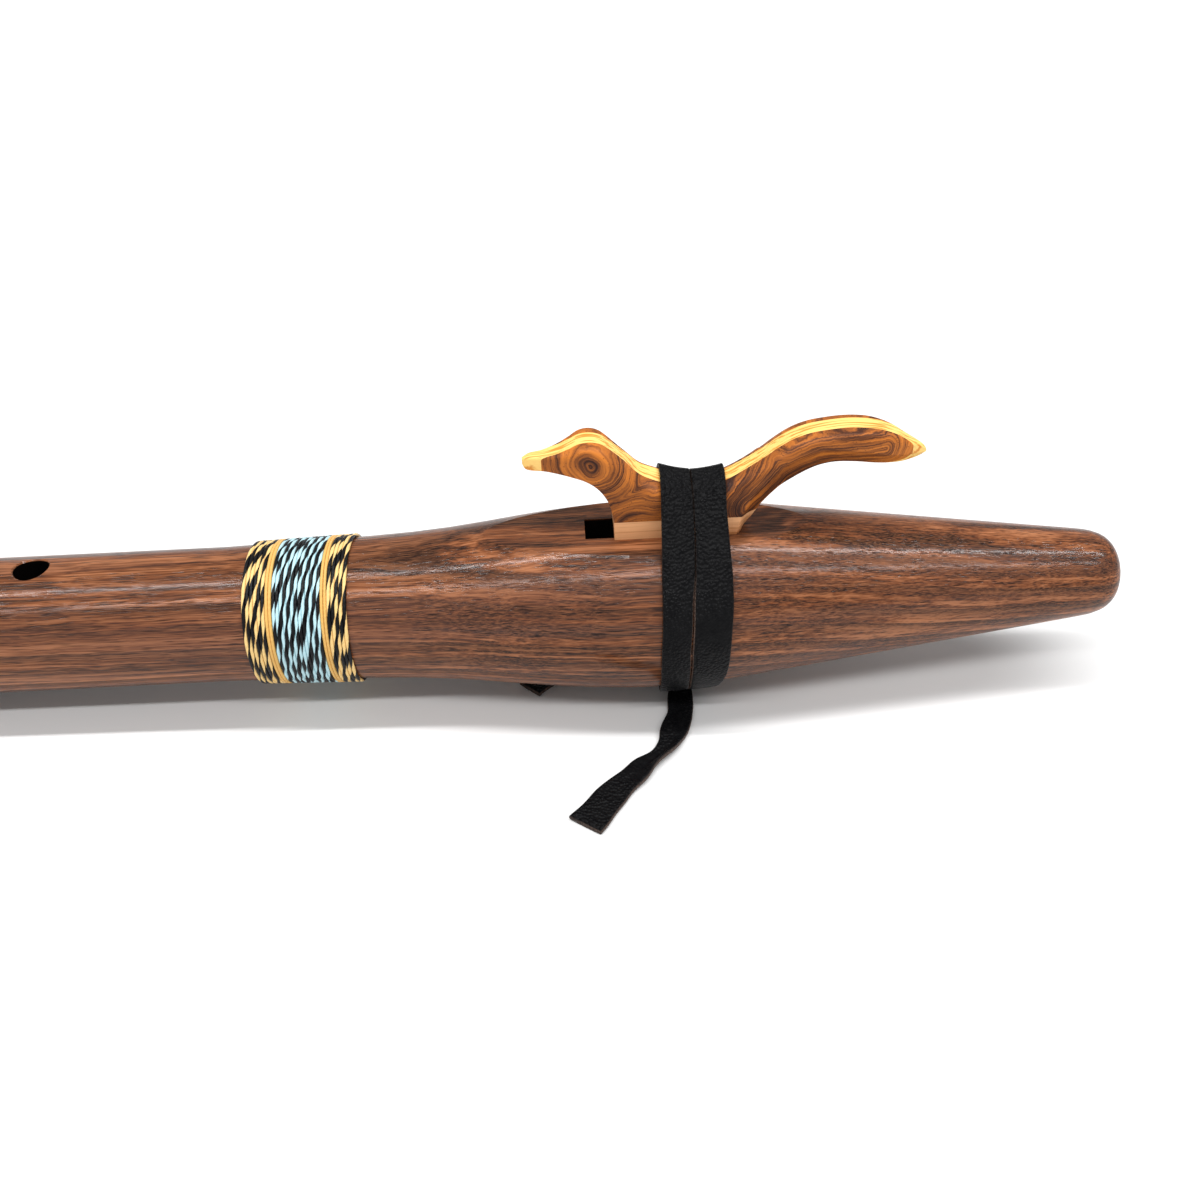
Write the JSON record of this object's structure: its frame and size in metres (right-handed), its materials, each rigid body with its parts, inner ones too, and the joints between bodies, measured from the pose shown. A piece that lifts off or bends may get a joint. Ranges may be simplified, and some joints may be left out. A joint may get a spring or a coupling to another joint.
{
  "type": "flute",
  "caption": "End-blown wooden flute with finger holes, thread wraps, and a carved laminated block tied over the nest by a black leather lace.",
  "frame": {"origin": "centre of the bore at the foot end's face", "axes": "+X along the bore to the mouth end, +Z out of the finger holes, square to the flat nest, +Y to the player's left with the foot pointing away"},
  "size_m": [0.5327, 0.0838, 0.0766],
  "materials": {
    "walnut": "satin oiled walnut, reddish brown with dark pores",
    "plug_wood": "plain sanded walnut",
    "base_wood": "matt pale straight-grained wood",
    "core_wood": "satin pale yellow wood",
    "cheek_wood": "satin orange-brown wood with dark figured rings",
    "black_leather": "soft black pebbled leather lace",
    "variegated_thread": "waxed thread, black and yellow",
    "turquoise_thread": "waxed thread, black and pale turquoise",
    "yellow_thread": "waxed yellow thread"
  },
  "bodies": {
    "body": {"body_upper_half": "walnut", "body_lower_half": "walnut", "partition_plug": "plug_wood", "wrap_outer_foot": "variegated_thread", "binding_foot": "yellow_thread", "wrap_centre": "turquoise_thread", "binding_mouth": "yellow_thread", "wrap_outer_mouth": "variegated_thread"},
    "block": {"block_base": "base_wood", "block_core": "core_wood", "block_cheek_near": "cheek_wood", "block_cheek_far": "cheek_wood", "strap_turn_front": "black_leather", "strap_turn_rear": "black_leather", "strap_knot": "black_leather", "strap_tail_long": "black_leather", "strap_tail_short": "black_leather"}
  },
  "joints": [
    {"name": "block_slide", "type": "slide", "parent": "body", "child": "block", "axis": [1, 0, 0], "range_m": [-0.002, 0.006]}
  ]
}
